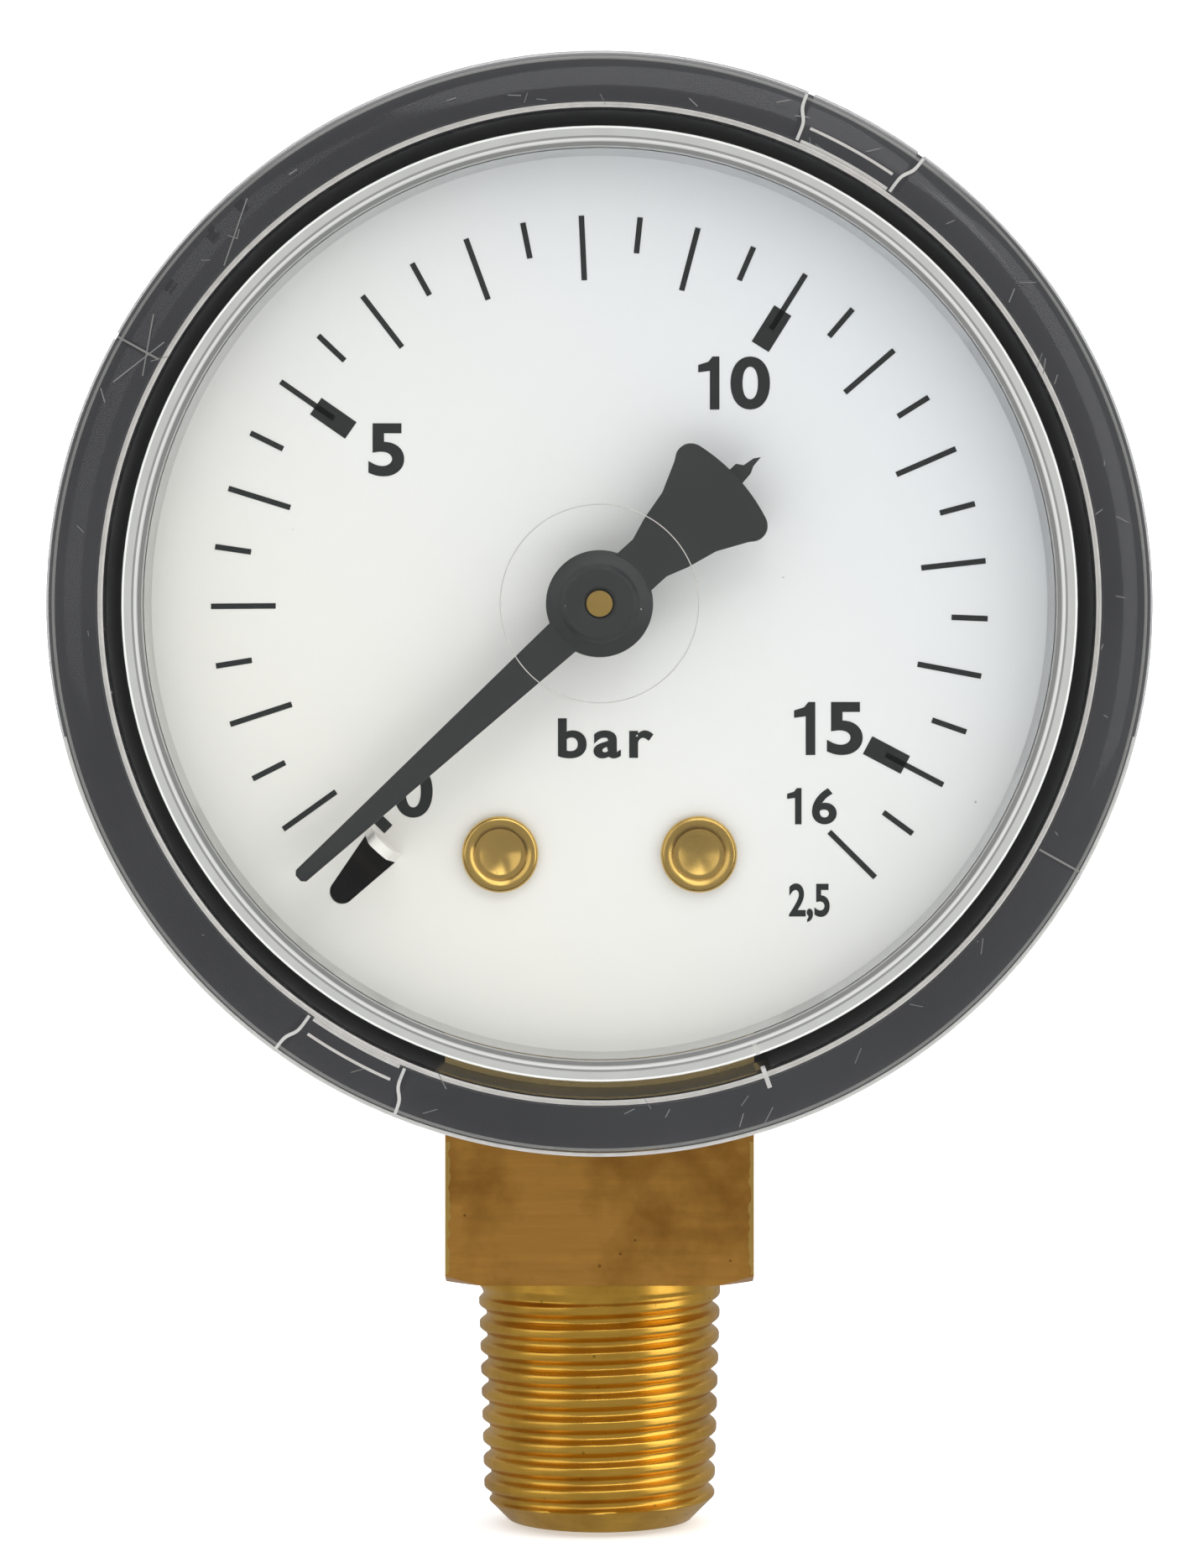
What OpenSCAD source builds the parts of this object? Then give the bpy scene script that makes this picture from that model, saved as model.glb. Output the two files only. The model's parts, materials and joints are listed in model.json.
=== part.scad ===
// Bourdon-tube pressure gauge, nominal size 40 mm, with a bottom pipe connection.
// The origin is the centre of the shoulder under the stem's square. +Z is up and the dial faces -Y.

/* [Connection] */
// Width of the stem's square across its flats
square_w = 12; // [10:0.5:15]
// Outer diameter of the pipe thread
thread_d = 9.728; // [8:0.001:11.8]
// Pitch of the pipe thread
thread_pitch = 0.907; // [0.7:0.001:1.2]
// Length of the threaded stub under the square
thread_len = 10; // [8:0.5:14]
// Diameter of the pressure port
port_d = 3.4; // [2.8:0.1:4.2]
// Diameter of the hole through the restrictor screw
restrictor_hole_d = 0.4; // [0.3:0.1:1]
// Length of the restrictor screw
restrictor_len = 4; // [3:0.5:6]

/* [Case] */
// Outer diameter of the case
case_d = 40.8; // [39:0.1:60]
// Thickness of the case's side wall
case_wall = 1.6; // [1.2:0.1:2]
// Thickness of the case's back wall
back_t = 1.4; // [1:0.1:2]
// Room between the stem's block and the back wall
back_room = 2.1; // [1.6:0.1:4]
// Height of the dial's centre over the shoulder
dial_height = 26.5; // [25:0.5:40]
// Length of the case's wall that stands ahead of the dial
case_lip = 2.6; // [2:0.1:3]

/* [Window] */
// Thickness of the window's pane
pane_t = 1.4; // [1:0.1:2]
// Room between the dial and the pane
window_room = 3.4; // [3.3:0.1:5]
// Thickness of the window's push-on skirt
skirt_t = 0.55; // [0.4:0.05:1]
// Radius of the rim's rounded front
rim_round = 2; // [1.5:0.1:2.1]
// Distance of the skirt's back edge from the dial plate's front plate
skirt_overlap = 3.5; // [2.4:0.1:3.6]
// Width of the slits beside the window's clip tongues
slit_w = 0.25; // [0.15:0.05:0.6]

/* [Dial] */
// Thickness of the dial
dial_t = 0.4; // [0.3:0.05:0.6]
// Width of the open ring between the dial and the case's wall
dial_edge_gap = 1.2; // [1:0.1:2]
// Distance of the zero stop's bend from the dial's centre
stop_r = 12.3; // [10:0.1:13]
// Height of the zero stop over the dial
stop_h = 3.1; // [2.6:0.1:3.2]
// Width of the zero stop at its bend
stop_w = 1.66; // [1.2:0.02:2.4]
// Clock angle of the zero stop, measured anticlockwise from the top
stop_angle = 138.2; // [130:0.1:145]

/* [Pointer] */
// Length of the pointer from its axis to its tip
pointer_len = 15.6; // [13:0.1:16.5]
// Length of the pointer's tail
tail_len = 7.15; // [6:0.05:8.6]
// Diameter of the pointer's hub
hub_d = 4.1; // [3.4:0.1:5]
// Thickness of the pointer's arm
pointer_t = 0.7; // [0.5:0.1:0.9]
// Height of the pointer's hub
hub_h = 1.3; // [1.1:0.1:1.5]
// Gap between the dial and the pointer
pointer_lift = 1.2; // [0.8:0.1:1.4]
// Greatest turn of the pointer from its stop
pointer_turn = 272; // [180:1:280]

/* [Movement] */
// Thickness of the movement's plates
plate_t = 0.8; // [0.6:0.1:1.2]
// Distance between the movement's plates
plate_space = 4.2; // [4:0.1:5.5]
// Half the width of a plate's arms
plate_arm_r = 1.6; // [1.3:0.1:1.8]
// Module of the sector and pinion teeth
gear_module = 0.15; // [0.12:0.01:0.2]
// Teeth on the pinion
pinion_teeth = 10; // [10:1:14]
// Teeth that the whole sector wheel would have
sector_wheel_teeth = 120; // [100:1:130]
// Thickness of the sector
sector_t = 0.6; // [0.4:0.1:0.8]
// Diameter of the pinion's shaft
shaft_d = 1; // [0.8:0.05:1]
// Diameter of the sector's arbor
arbor_d = 1; // [0.8:0.1:1.4]
// Distance from the sector's arbor to its tail pin
sector_tail = 3.2; // [2.6:0.1:3.8]
// Thickness of the link
link_t = 0.6; // [0.4:0.1:0.8]
// Diameter of the link's pins
link_pin_d = 0.8; // [0.6:0.1:1]
// Diameter of the plate pillars
pillar_d = 1.8; // [1.4:0.1:2.2]
// Thickness of the hairspring's strip
hair_t = 0.08; // [0.05:0.01:0.12]
// Number of turns of the hairspring
hair_turns = 5; // [3:1:7]

/* [Bourdon tube] */
// Radial width of the tube's flat section
tube_w = 2; // [1.6:0.1:2.4]
// Axial width of the tube's flat section
tube_h = 6; // [4.5:0.1:6.4]
// Thickness of the tube's wall
tube_wall = 0.25; // [0.15:0.05:0.4]
// Room between the tube and the case's wall
tube_room = 3.8; // [2.6:0.1:3.9]
// Distance of the tube's tip pivot below the dial's centre
link_drop = 6.9; // [6.5:0.1:7]

/* [Fasteners] */
// Diameter of the dial rivets' shanks
rivet_d = 1.9; // [1.5:0.1:2.2]
// Diameter of the dial rivets' rolled heads
rivet_head_d = 2.96; // [2.6:0.02:3.4]
// Distance of each dial rivet from the middle line
rivet_x = 3.83; // [3.2:0.01:4.2]
// Distance of the dial rivets below the dial's centre
rivet_drop = 9.67; // [9.6:0.01:10.2]
// Diameter of the rear screws' shanks
case_screw_d = 2.5; // [2:0.1:3]
// Diameter of the rear screws' heads
case_screw_head_d = 4.5; // [4:0.1:5]
// Diameter of the blow-out plug
plug_d = 6; // [4:0.5:8]

/* [Clearances] */
// Gap around a piece that is seated in another
seat_gap = 0.05; // [0.02:0.01:0.08]
// Radial gap around a turning shaft or pin
run_gap = 0.03; // [0.02:0.01:0.06]
// Radial play of the link on the sector's tail pin
link_play = 0.09; // [0.08:0.01:0.12]
// Gap between pieces that pass each other
pass_gap = 0.3; // [0.2:0.05:0.4]

/* [Hidden] */
$fn = 96;

black_plastic = [0.09, 0.09, 0.1];
brass = [0.78, 0.6, 0.25];
steel = [0.62, 0.63, 0.65];

// Wall of the socket that closes the Bourdon tube
socket_wall = 0.3;

// Planes, each as its distance ahead of the stem's axis
block_f = square_w / 2;
dial_back_f = block_f + plate_t;
dial_f = dial_back_f + dial_t;
case_edge_f = dial_f + case_lip;
pane_in_f = dial_f + window_room;
pane_out_f = pane_in_f + pane_t;
skirt_back_f = case_edge_f - skirt_overlap;
case_in_f = -block_f - back_room;
case_back_f = case_in_f - back_t;
back_plate_f = block_f - plate_space;
sector_f = block_f - 2;
link_f = back_plate_f + 0.9;
tube_front_f = back_plate_f - plate_t - pass_gap;
tube_f = tube_front_f - socket_wall - tube_h / 2;
pointer_f = dial_f + pointer_lift;

// Radii about the dial's axis
case_r = case_d / 2;
case_in_r = case_r - case_wall;
window_r = case_r + seat_gap + skirt_t;
dial_r = case_in_r - dial_edge_gap;
locator_in_r = dial_r - 0.3;
locator_out_r = locator_in_r + 0.85;
tube_r = case_in_r - tube_room - tube_w / 2;

// The block inside the case: the head in front holds the dial rivets, and the lower rear holds the tube
head_top = -8;
head_t = 2.3;
rear_top = -9.9;
rivet_depth = 3;
rivet_head_t = 0.4;

// Clock angles of the window's slits, and of the rib that sits beside the block
slit_angles = [22.6, 35.6, 119.2, 202.3, 215.6, 299];
rib_angle = 160.6;
rib_w = 0.6;
bead_h = 0.2;
bead_w = 0.7;

// Pipe thread: rings with 55 degree flanks stand for the helix
crest_r = thread_d / 2;
thread_depth = 0.6 * thread_pitch;
thread_flank = thread_depth * tan(27.5);
thread_flat = thread_pitch / 2 - thread_flank;
neck_len = 0.6;
end_chamfer = 0.5;
threads = floor((thread_len - neck_len - end_chamfer) / thread_pitch);
// The shoulder's corners are cut by a shallow cone: where it starts beyond the flats, and its run for each 1 of rise
shoulder_chamfer = 1.55;
shoulder_slope = 2.5;

// Bourdon tube and its soldered end, as angles from the +X direction, counted anticlockwise
tube_start = 260;
tip_angle = -asin(link_drop / tube_r);
tip_half = 5;
tube_end = tip_angle + tip_half + 1;
tube_seat = 26;
tip_bore = 1.6;
tip_pivot = tube_r * [cos(tip_angle), sin(tip_angle)];

// Sector and pinion: the ratio of the teeth sets how far the sector swings
pinion_pitch_r = gear_module * pinion_teeth / 2;
sector_pitch_r = gear_module * sector_wheel_teeth / 2;
sector_dir = 200;
sector_pivot = (pinion_pitch_r + sector_pitch_r) * [cos(sector_dir), sin(sector_dir)];
sector_swing = pointer_turn * pinion_teeth / sector_wheel_teeth;
mesh_dir = sector_dir - 180;
sector_low = mesh_dir - sector_swing - 4;
sector_high = mesh_dir + 4;
tail_dir = -90 - sector_swing / 2;
tail_pivot = sector_pivot + sector_tail * [cos(tail_dir), sin(tail_dir)];
tooth_share = 0.4;
tooth_tip_share = 0.18;
root_room = 1.2;

// Plate pillars, hairspring stud and other places about the pinion
arm_waist = 0.85;
pillars = [[3.6, 3.6], [4.4, -3.3], sector_pivot + [2.6, 8.3]];
hair_in_r = shaft_d / 2 + 0.5;
hair_out_r = 3.3;
hair_h = 0.5;
hair_f = back_plate_f + 0.4;
stud_dir = -40;
collet_h = 0.8;
screw_head_t = 0.5;
case_screw_drops = [10.6, 17];
case_screw_depth = 3.4;
case_screw_head_t = 1.4;
boss_r = case_screw_head_d / 2 + 0.8;
plug_rise = 8;
plug_lip = 0.9;
plug_lip_t = 0.6;
slot_w = 0.5;
slot_depth = 0.5;

// Half the arm's width near the hub and at the tip, and the tail's half widths at their radii
arm_root_half = 0.74;
arm_tip_half = 0.3;
tail_halves = [[1.4, 0.96], [2.6, 0.96], [4.2, 1.25], [5.5, 1.75], [6.6, 2.2], [8, 2.5]];
arm_half_at_stop = arm_root_half + (arm_tip_half - arm_root_half) * (stop_r - hub_d / 2) / (pointer_len - hub_d / 2);
rest_angle = 90 + stop_angle - asin((stop_w / 2 + arm_half_at_stop + run_gap) / stop_r);

// Children drawn in the plane of the dial, at a distance ahead of the stem's axis, rising to the front
module ahead(distance) {
    translate([0, -distance, dial_height]) rotate([90, 0, 0]) children();
}

// A flat piece between two planes
module plate(from, to) {
    ahead(from) linear_extrude(to - from) children();
}

// A round piece between two planes, at a place in the plane of the dial
module round_bar(from, to, r, at = [0, 0]) {
    ahead(from) translate([at.x, at.y, 0]) cylinder(h = to - from, r = r);
}

// A bar between two points, a little narrower than its round ends
module arm(a, b, r) {
    run = b - a;
    half = arm_waist * r;
    translate(a) circle(r);
    translate(b) circle(r);
    translate(a) rotate(atan2(run.y, run.x)) translate([0, -half]) square([norm(run), 2 * half]);
}

// The flat oval section of the Bourdon tube
module tube_section(grow = 0) {
    w = tube_w + 2 * grow;
    h = tube_h + 2 * grow;
    translate([tube_r, 0]) {
        translate([-w / 2, -(h - w) / 2]) square([w, h - w]);
        translate([0, (h - w) / 2]) circle(w / 2);
        translate([0, -(h - w) / 2]) circle(w / 2);
    }
}

// A stretch of ring with its children as section, from one angle to another
module ring_arc(from, to) {
    ahead(tube_f) rotate(from) rotate_extrude(angle = to - from) children();
}

// Teeth on a round root, the first one on the +X side
module teeth(wheel_teeth, first, last) {
    pitch_r = gear_module * wheel_teeth / 2;
    root_r = pitch_r - root_room * gear_module;
    tip_r = pitch_r + gear_module;
    pitch = PI * gear_module;
    for (i = [first : last])
        rotate(i * 360 / wheel_teeth)
            polygon([
                [root_r - gear_module / 2, -pitch * tooth_share * 0.7],
                [tip_r, -pitch * tooth_tip_share / 2],
                [tip_r, pitch * tooth_tip_share / 2],
                [root_r - gear_module / 2, pitch * tooth_share * 0.7]
            ]);
}

// The triangle between two directions, out to a length
module wedge(from, to, length) {
    polygon([[0, 0], length * [cos(from), sin(from)], length * [cos(to), sin(to)]]);
}

// The zero stop's outline, from its bend outwards
module stop_outline(start) {
    end_r = 0.29 * stop_w;
    difference() {
        union() {
            polygon([
                [0, -stop_w / 2], [0, stop_w / 2], [stop_h - end_r, end_r], [stop_h - end_r, -end_r]
            ]);
            translate([stop_h - end_r, 0]) circle(end_r);
        }
        translate([start - stop_w, -stop_w]) square([stop_w, 2 * stop_w]);
    }
}

module case() {
    corner = 1.2;
    color(black_plastic) {
        difference() {
            ahead(0) rotate_extrude() difference() {
                union() {
                    translate([0, case_back_f]) square([case_r - corner, back_t]);
                    translate([0, case_back_f + corner]) square([case_r, case_edge_f - case_back_f - corner]);
                    translate([case_r - corner, case_back_f + corner]) circle(corner);
                }
                translate([0, case_in_f]) square([case_in_r, case_edge_f - case_in_f + 1]);
                translate([case_r - bead_h, skirt_back_f + bead_w]) square([1, bead_w + 2 * seat_gap]);
            }
            // The notch that the stem's block slides into from the front
            translate([-square_w / 2 - seat_gap, -block_f - seat_gap, 0])
                cube([square_w + 2 * seat_gap, 2 * (block_f + seat_gap), dial_height - case_in_r / 2]);
            case_screw_holes();
            round_bar(case_back_f - 1, case_in_f + 1, plug_d / 2 + seat_gap, [0, plug_rise]);
            round_bar(case_back_f - 1, case_back_f + plug_lip_t, plug_d / 2 + plug_lip + seat_gap, [0, plug_rise]);
        }
        difference() {
            for (drop = case_screw_drops) round_bar(case_in_f, -block_f, boss_r, [0, -drop]);
            case_screw_holes();
        }
    }
}

// Clearance holes and sunk seats for the rear screws
module case_screw_holes() {
    for (drop = case_screw_drops) {
        round_bar(case_back_f - 1, -block_f + 1, case_screw_d / 2 + seat_gap, [0, -drop]);
        round_bar(case_back_f - 1, case_back_f + case_screw_head_t, case_screw_head_d / 2 + seat_gap, [0, -drop]);
    }
}

module window() {
    color([0.85, 0.88, 0.9, 0.35]) {
        difference() {
            ahead(0) rotate_extrude() {
                translate([0, pane_in_f]) square([case_in_r + 0.2, pane_t]);
                translate([locator_in_r, dial_f]) square([locator_out_r - locator_in_r, pane_in_f - dial_f]);
                difference() {
                    union() {
                        translate([case_in_r, skirt_back_f])
                            square([window_r - case_in_r, pane_out_f - 1.5 - skirt_back_f]);
                        intersection() {
                            translate([window_r - rim_round, pane_out_f - 1.5]) circle(rim_round);
                            translate([case_in_r, case_edge_f]) square([window_r, pane_t + rim_round]);
                        }
                    }
                    translate([0, skirt_back_f - 1]) square([case_r + seat_gap, case_edge_f - skirt_back_f + 1]);
                }
                translate([case_r - bead_h + seat_gap, skirt_back_f + bead_w + seat_gap])
                    square([bead_h + seat_gap, bead_w]);
            }
            for (clock = slit_angles)
                ahead(0) rotate(90 - clock) translate([case_in_r + 0.25, -slit_w / 2, 0])
                    cube([window_r, slit_w, pane_out_f + rim_round]);
        }
        plate(dial_f + 0.2, pane_in_f)
            rotate(90 - rib_angle) translate([locator_out_r - 0.1, -rib_w / 2])
                square([case_in_r - locator_out_r, rib_w]);
    }
}

module dial() {
    color("whitesmoke") {
        difference() {
            plate(dial_back_f, dial_f) circle(dial_r);
            round_bar(dial_back_f - 1, dial_f + 1, shaft_d / 2 + pass_gap);
            for (side = [-1, 1])
                round_bar(dial_back_f - 1, dial_f + 1, rivet_d / 2 + seat_gap, [side * rivet_x, -rivet_drop]);
            plate(dial_back_f - 1, dial_f + 1)
                rotate(90 + stop_angle) translate([stop_r, 0]) stop_outline(dial_t);
        }
        // The tab that the hole was cut around, bent up at its inner end
        ahead(dial_back_f) rotate(90 + stop_angle) translate([stop_r + dial_t, 0, 0])
            rotate([0, -90, 0]) linear_extrude(dial_t) stop_outline(0);
    }
}

module dial_rivets() {
    color(brass)
        for (side = [-1, 1])
            difference() {
                union() {
                    round_bar(dial_f, dial_f + rivet_head_t, rivet_head_d / 2, [side * rivet_x, -rivet_drop]);
                    round_bar(block_f - rivet_depth, dial_f + 0.1, rivet_d / 2, [side * rivet_x, -rivet_drop]);
                }
                ahead(dial_f - 0.3) translate([side * rivet_x, -rivet_drop, 0])
                    cylinder(h = rivet_head_t + 0.31, r1 = 0.15, r2 = rivet_head_d / 2 - 0.4);
            }
}

module pointer() {
    color(black_plastic)
        difference() {
            union() {
                round_bar(pointer_f, pointer_f + hub_h, hub_d / 2);
                plate(pointer_f + 0.1, pointer_f + 0.1 + pointer_t) rotate(rest_angle) {
                    polygon([
                        [0, -arm_root_half], [hub_d / 2, -arm_root_half], [pointer_len - arm_tip_half, -arm_tip_half],
                        [pointer_len - arm_tip_half, arm_tip_half], [hub_d / 2, arm_root_half], [0, arm_root_half]
                    ]);
                    translate([pointer_len - arm_tip_half, 0]) circle(arm_tip_half);
                    intersection() {
                        circle(tail_len);
                        polygon(concat(
                            [for (p = tail_halves) [-p[0], p[1]]],
                            [for (i = [len(tail_halves) - 1 : -1 : 0]) [-tail_halves[i][0], -tail_halves[i][1]]]
                        ));
                    }
                }
            }
            round_bar(pointer_f - 1, pointer_f + hub_h + 1, shaft_d / 2 + seat_gap);
        }
}

// One groove of the threaded stub's outline, from a height downwards
function groove(z) = [
    [crest_r, z],
    [crest_r - thread_depth, z - thread_flank],
    [crest_r - thread_depth, z - thread_flank - thread_flat],
    [crest_r, z - 2 * thread_flank - thread_flat]
];

module stem() {
    channel_r = 0.6;
    channel_f = -port_d / 2 + 2 * channel_r;
    block_low = -dial_height;
    port_top = -tube_r + tube_w / 2 + 0.4;
    thread_outline = concat(
        [[0, 0], [crest_r, 0]],
        [for (i = [0 : threads - 1]) each groove(-neck_len - i * thread_pitch)],
        [[crest_r, -thread_len + end_chamfer], [crest_r - end_chamfer, -thread_len], [0, -thread_len]]
    );
    color(brass)
        difference() {
            union() {
                intersection() {
                    union() {
                        ahead(-block_f) translate([-square_w / 2, block_low, 0])
                            cube([square_w, rear_top - block_low, square_w]);
                        ahead(block_f - head_t) translate([-square_w / 2, block_low, 0])
                            cube([square_w, head_top - block_low, head_t]);
                    }
                    cylinder(
                        h = dial_height,
                        r1 = square_w / 2 + shoulder_chamfer,
                        r2 = square_w / 2 + shoulder_chamfer + shoulder_slope * dial_height
                    );
                }
                rotate_extrude() polygon(thread_outline);
            }
            translate([0, 0, -thread_len - 1]) cylinder(h = dial_height + port_top + thread_len + 1, r = port_d / 2);
            // Seat of the tube's open end, and the channel that feeds it
            ring_arc(tube_start - tube_seat, tube_start + 3) tube_section(seat_gap);
            ahead(channel_f) translate([0, -tube_r, 0]) rotate([0, -90, 0]) cylinder(h = tube_r / 5, r = channel_r);
            for (side = [-1, 1])
                round_bar(block_f - rivet_depth, block_f + 1, rivet_d / 2 + seat_gap, [side * rivet_x, -rivet_drop]);
            for (drop = case_screw_drops)
                round_bar(-block_f - 1, -block_f + case_screw_depth, case_screw_d / 2 + seat_gap, [0, -drop]);
        }
}

module restrictor_screw() {
    color(brass)
        difference() {
            translate([0, 0, -thread_len + 0.5]) cylinder(h = restrictor_len, r = port_d / 2 - run_gap);
            translate([0, 0, -thread_len]) cylinder(h = restrictor_len + 1, r = restrictor_hole_d / 2);
            translate([-port_d / 2, -slot_w / 2, -thread_len]) cube([port_d, slot_w, 0.5 + slot_depth]);
        }
}

module case_screws() {
    color(steel)
        for (drop = case_screw_drops)
            difference() {
                union() {
                    round_bar(case_back_f, case_back_f + case_screw_head_t, case_screw_head_d / 2, [0, -drop]);
                    round_bar(case_back_f + 0.5, -block_f + case_screw_depth - 0.2, case_screw_d / 2, [0, -drop]);
                }
                for (turn = [30, 120])
                    ahead(case_back_f - 1) translate([0, -drop, 0]) rotate(turn)
                        translate([-case_screw_head_d / 3, -slot_w / 2, 0])
                            cube([case_screw_head_d / 1.5, slot_w, 1.8]);
            }
}

module blowout_plug() {
    color([0.15, 0.15, 0.16]) {
        round_bar(case_back_f, case_back_f + plug_lip_t, plug_d / 2 + plug_lip, [0, plug_rise]);
        round_bar(case_back_f + 0.1, case_in_f + plug_lip_t, plug_d / 2, [0, plug_rise]);
        round_bar(case_in_f, case_in_f + plug_lip_t, plug_d / 2 + plug_lip / 2, [0, plug_rise]);
    }
}

module bourdon_tube() {
    color(brass)
        ring_arc(tube_end, tube_start) difference() {
            tube_section();
            tube_section(-tube_wall);
        }
}

module tube_tip() {
    color(brass)
        difference() {
            ring_arc(tip_angle - tip_half, tube_end + 4) tube_section(socket_wall);
            ring_arc(tube_end, tube_end + 5) tube_section(seat_gap);
            round_bar(tube_front_f - tip_bore, tube_front_f + 1, link_pin_d / 2 + run_gap / 2, tip_pivot);
        }
}

module link() {
    color(brass)
        difference() {
            plate(link_f, link_f + link_t) arm(tip_pivot, tail_pivot, link_pin_d / 2 + 0.4);
            round_bar(link_f - 1, link_f + link_t + 1, link_pin_d / 2 + run_gap, tip_pivot);
            round_bar(link_f - 1, link_f + link_t + 1, link_pin_d / 2 + link_play, tail_pivot);
        }
}

module link_tip_pin() {
    color(steel) {
        round_bar(tube_front_f - tip_bore, link_f + link_t + pass_gap, link_pin_d / 2, tip_pivot);
        round_bar(link_f + link_t + pass_gap, link_f + link_t + 2 * pass_gap, link_pin_d / 2 + 0.35, tip_pivot);
    }
}

module link_tail_pin() {
    color(steel) {
        round_bar(link_f - pass_gap, sector_f + sector_t, link_pin_d / 2, tail_pivot);
        round_bar(link_f - 2 * pass_gap, link_f - pass_gap, link_pin_d / 2 + 0.35, tail_pivot);
    }
}

module sector() {
    root_r = sector_pitch_r - root_room * gear_module;
    rim_t = 1.2;
    spoke = 5;
    tooth_step = 360 / sector_wheel_teeth;
    color(brass)
        difference() {
            plate(sector_f, sector_f + sector_t) translate(sector_pivot) {
                intersection() {
                    circle(root_r);
                    wedge(sector_low, sector_high, 2 * root_r);
                }
                rotate(mesh_dir)
                    teeth(sector_wheel_teeth, ceil((sector_low - mesh_dir) / tooth_step) + 1, 1);
                circle(arbor_d / 2 + 1);
                arm([0, 0], tail_pivot - sector_pivot, link_pin_d / 2 + 0.5);
            }
            plate(sector_f - 1, sector_f + sector_t + 1) translate(sector_pivot)
                intersection() {
                    difference() {
                        circle(root_r - rim_t);
                        circle(arbor_d / 2 + 2);
                    }
                    wedge(sector_low + spoke, sector_high - spoke, 2 * root_r);
                }
            round_bar(sector_f - 1, sector_f + sector_t + 1, arbor_d / 2 + run_gap / 2, sector_pivot);
            round_bar(sector_f - 1, sector_f + sector_t + 1, link_pin_d / 2 + run_gap / 2, tail_pivot);
        }
}

module sector_arbor() {
    color(steel) {
        round_bar(back_plate_f - plate_t, dial_back_f - 0.1, arbor_d / 2, sector_pivot);
        round_bar(back_plate_f + 0.1, sector_f, arbor_d / 2 + 0.3, sector_pivot);
        round_bar(sector_f + sector_t, block_f - 0.1, arbor_d / 2 + 0.3, sector_pivot);
    }
}

module pinion_shaft() {
    pinion_root_r = pinion_pitch_r - root_room * gear_module;
    color(steel) {
        round_bar(back_plate_f - plate_t, pointer_f + hub_h - 0.05, shaft_d / 2);
        plate(sector_f - pass_gap, sector_f + sector_t + pass_gap) {
            circle(pinion_root_r);
            rotate(sector_dir + 180 / pinion_teeth) teeth(pinion_teeth, 0, pinion_teeth - 1);
        }
    }
}

module hairspring() {
    steps = 24 * hair_turns;
    growth = (hair_out_r - hair_in_r) / steps;
    turn = 360 * hair_turns / steps;
    function spiral(i, side) =
        (hair_in_r + i * growth + side * hair_t / 2) * [cos(stud_dir + i * turn), sin(stud_dir + i * turn)];
    color(steel)
        plate(hair_f, hair_f + hair_h)
            polygon(concat(
                [for (i = [0 : steps]) spiral(i, 1)],
                [for (i = [steps : -1 : 0]) spiral(i, -1)]
            ));
}

module hairspring_collet() {
    color(brass)
        difference() {
            round_bar(hair_f - 0.1, hair_f - 0.1 + collet_h, hair_in_r - hair_t / 2 - run_gap);
            round_bar(hair_f - 1, hair_f + 1 + collet_h, shaft_d / 2 + run_gap / 2);
        }
}

module hairspring_stud() {
    stud_r = 0.35;
    color(brass)
        round_bar(back_plate_f, hair_f + hair_h + 0.2, stud_r,
            (hair_out_r + hair_t / 2 + stud_r) * [cos(stud_dir), sin(stud_dir)]);
}

// The arms that both movement plates have
module plate_arms() {
    arm([0, 0], sector_pivot, plate_arm_r);
    arm([0, 0], pillars[0], plate_arm_r);
    arm([0, 0], pillars[1], plate_arm_r);
    arm(sector_pivot, pillars[2], plate_arm_r);
    arm(pillars[2], pillars[0], plate_arm_r);
}

module front_plate() {
    tongue_w = square_w - 1.6;
    tongue_low = rivet_drop + rivet_d;
    color(brass)
        difference() {
            plate(block_f, dial_back_f) {
                plate_arms();
                translate([-tongue_w / 2, -tongue_low]) square([tongue_w, tongue_low]);
            }
            round_bar(block_f - 1, dial_back_f + 1, shaft_d / 2 + run_gap);
            round_bar(block_f - 1, dial_back_f + 1, arbor_d / 2 + run_gap, sector_pivot);
            for (side = [-1, 1])
                round_bar(block_f - 1, dial_back_f + 1, rivet_d / 2 + seat_gap, [side * rivet_x, -rivet_drop]);
            for (at = pillars) round_bar(block_f - 1, dial_back_f + 1, pillar_d / 3 + seat_gap / 2, at);
        }
}

module back_plate() {
    color(brass)
        difference() {
            plate(back_plate_f - plate_t, back_plate_f) plate_arms();
            round_bar(back_plate_f - plate_t - 1, back_plate_f + 1, shaft_d / 2 + run_gap);
            round_bar(back_plate_f - plate_t - 1, back_plate_f + 1, arbor_d / 2 + run_gap, sector_pivot);
            for (at = pillars)
                round_bar(back_plate_f - plate_t - 1, back_plate_f + 1, pillar_d / 4 + seat_gap, at);
        }
}

module plate_pillars() {
    color(brass)
        for (at = pillars)
            difference() {
                union() {
                    round_bar(back_plate_f, block_f, pillar_d / 2, at);
                    round_bar(back_plate_f + 1, dial_back_f, pillar_d / 3, at);
                }
                round_bar(back_plate_f - 1, back_plate_f + 1.6, pillar_d / 4 + seat_gap, at);
            }
}

module plate_screws() {
    head_f = back_plate_f - plate_t - screw_head_t;
    color(steel)
        for (at = pillars)
            difference() {
                union() {
                    round_bar(head_f, head_f + screw_head_t, pillar_d / 2, at);
                    round_bar(head_f, back_plate_f + 1.4, pillar_d / 4, at);
                }
                ahead(head_f - 1) translate([at.x - pillar_d, at.y - 0.15, 0]) cube([2 * pillar_d, 0.3, 1.25]);
            }
}

case();
window();
dial();
dial_rivets();
pointer();
stem();
restrictor_screw();
case_screws();
blowout_plug();
bourdon_tube();
tube_tip();
link();
link_tip_pin();
link_tail_pin();
sector();
sector_arbor();
pinion_shaft();
hairspring();
hairspring_collet();
hairspring_stud();
front_plate();
back_plate();
plate_pillars();
plate_screws();
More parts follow.
